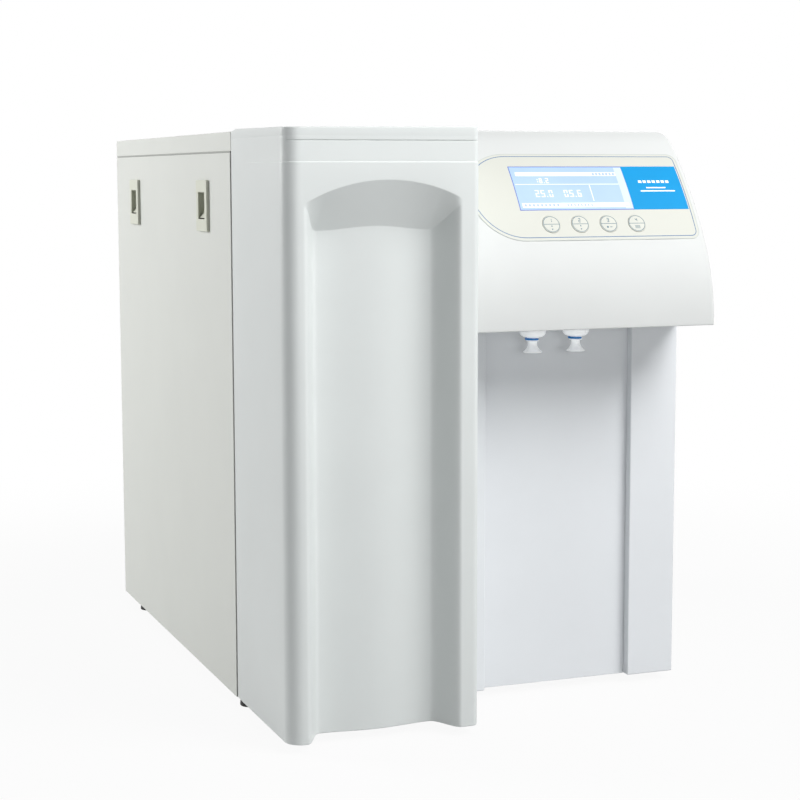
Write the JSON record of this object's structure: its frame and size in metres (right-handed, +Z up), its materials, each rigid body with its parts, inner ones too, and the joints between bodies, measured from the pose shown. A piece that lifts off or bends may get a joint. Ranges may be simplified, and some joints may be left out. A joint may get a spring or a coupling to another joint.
{
  "type": "water purification system",
  "caption": "Benchtop water purification system: scooped front column, curved dispensing head with display and keys over an open bay, and a tilting side access panel.",
  "frame": {"origin": "on the bench surface under the middle of the cabinet's bounding box", "axes": "+Z up, -Y towards the user (front), +X to the user's right"},
  "size_m": [0.441, 0.664, 0.55],
  "materials": {
    "panel_paint": "fine textured powder coat",
    "sheet_steel": "zinc-coated, dull",
    "front_plastic": "fine moulded grain",
    "head_plastic": "smooth satin",
    "bay_plastic": "smooth satin",
    "overlay_film": "satin film",
    "display_lens": "clear lens over a lit display",
    "circuit_board": "solder mask",
    "key_plastic": "satin",
    "white_plastic": "semi-gloss",
    "clip_blue": "semi-gloss",
    "latch_plastic": "fine moulded grain",
    "spring_steel": "bright",
    "blue_plastic": "moulded",
    "membrane_film": "wound film",
    "grey_plastic": "moulded",
    "motor_case": "painted",
    "shaft_steel": "ground",
    "black_plastic": "moulded",
    "reactor_steel": "brushed",
    "lamp_glass": "clear",
    "power_case": "satin",
    "brass": "satin",
    "blue_tube": "flexible tube",
    "clear_tube": "flexible tube",
    "rubber": "matte",
    "screw_steel": "bright"
  },
  "bodies": {
    "cabinet": {"base_pan": "sheet_steel", "front_bulkhead": "sheet_steel", "rear_panel": "panel_paint", "middle_rack": "sheet_steel", "top_cover": "panel_paint", "right_panel": "panel_paint", "hinge_rods": "shaft_steel", "panel_seal": "rubber", "feet": "rubber", "column_shell": "front_plastic", "column_cap": "front_plastic", "bay_frame": "bay_plastic", "bay_panel": "bay_plastic", "head_shell": "head_plastic", "head_base": "head_plastic", "control_overlay": "overlay_film", "display_window": "display_lens", "display_module": "circuit_board", "key_board": "circuit_board", "outlet_fittings": "white_plastic", "outlet_nuts": "white_plastic", "outlet_collets": "white_plastic", "outlet_clips": "clip_blue", "outlet_spouts": "white_plastic", "filter_heads": "blue_plastic", "filter_cartridges": "white_plastic", "membrane_housing": "white_plastic", "membrane_element": "membrane_film", "equipment_cradles": "grey_plastic", "polishing_cartridges": "white_plastic", "pump_motor": "motor_case", "pump_head": "black_plastic", "uv_reactor": "reactor_steel", "uv_lamp": "lamp_glass", "ultrafilter": "white_plastic", "module_clips": "white_plastic", "power_supply": "power_case", "main_board": "circuit_board", "water_manifold": "white_plastic", "solenoid_valves": "black_plastic", "water_sensors": "brass", "raw_water_tubes": "blue_tube", "pure_water_tubes": "clear_tube", "rear_ports": "grey_plastic", "power_inlet": "black_plastic", "switch_housing": "black_plastic", "panel_screws": "screw_steel"},
    "access_panel": {"access_panel": "panel_paint", "latch_housing_front": "latch_plastic", "latch_housing_rear": "latch_plastic"},
    "latch_pull_front": {"latch_pull_front": "latch_plastic", "latch_tongue_front": "spring_steel"},
    "latch_pull_rear": {"latch_pull_rear": "latch_plastic", "latch_tongue_rear": "spring_steel"},
    "key_1": {"key_1": "key_plastic"},
    "key_2": {"key_2": "key_plastic"},
    "key_3": {"key_3": "key_plastic"},
    "key_4": {"key_4": "key_plastic"},
    "rocker": {"power_rocker": "black_plastic"},
    "pump_rotor": {"pump_shaft": "shaft_steel"}
  },
  "joints": [
    {"name": "panel_tilt", "type": "hinge", "parent": "cabinet", "child": "access_panel", "pos_m": [-0.213, 0, 0.018], "axis": [0, -1, 0], "range_deg": [0, 25], "deforming": ["latch_tongue_front", "latch_tongue_rear"]},
    {"name": "latch_slide_front", "type": "slide", "parent": "access_panel", "child": "latch_pull_front", "axis": [0, 0, -1], "range_m": [0, 0.0085], "stiffness_N_per_m": 300, "springref_m": -0.004},
    {"name": "latch_slide_rear", "type": "slide", "parent": "access_panel", "child": "latch_pull_rear", "axis": [0, 0, -1], "range_m": [0, 0.0085], "stiffness_N_per_m": 300, "springref_m": -0.004},
    {"name": "key_press_1", "type": "slide", "parent": "cabinet", "child": "key_1", "axis": [0, 0.8607, -0.509], "range_m": [0, 0.0006], "stiffness_N_per_m": 800, "springref_m": -0.0006},
    {"name": "key_press_2", "type": "slide", "parent": "cabinet", "child": "key_2", "axis": [0, 0.8607, -0.509], "range_m": [0, 0.0006], "stiffness_N_per_m": 800, "springref_m": -0.0006},
    {"name": "key_press_3", "type": "slide", "parent": "cabinet", "child": "key_3", "axis": [0, 0.8607, -0.509], "range_m": [0, 0.0006], "stiffness_N_per_m": 800, "springref_m": -0.0006},
    {"name": "key_press_4", "type": "slide", "parent": "cabinet", "child": "key_4", "axis": [0, 0.8607, -0.509], "range_m": [0, 0.0006], "stiffness_N_per_m": 800, "springref_m": -0.0006},
    {"name": "rocker_tip", "type": "hinge", "parent": "cabinet", "child": "rocker", "pos_m": [0.16, 0.314, 0.119], "axis": [1, 0, 0], "range_deg": [0, 16]},
    {"name": "pump_turn", "type": "hinge", "parent": "cabinet", "child": "pump_rotor", "pos_m": [0.11, -0.0845, 0.0595], "axis": [0, 1, 0], "continuous": true}
  ]
}
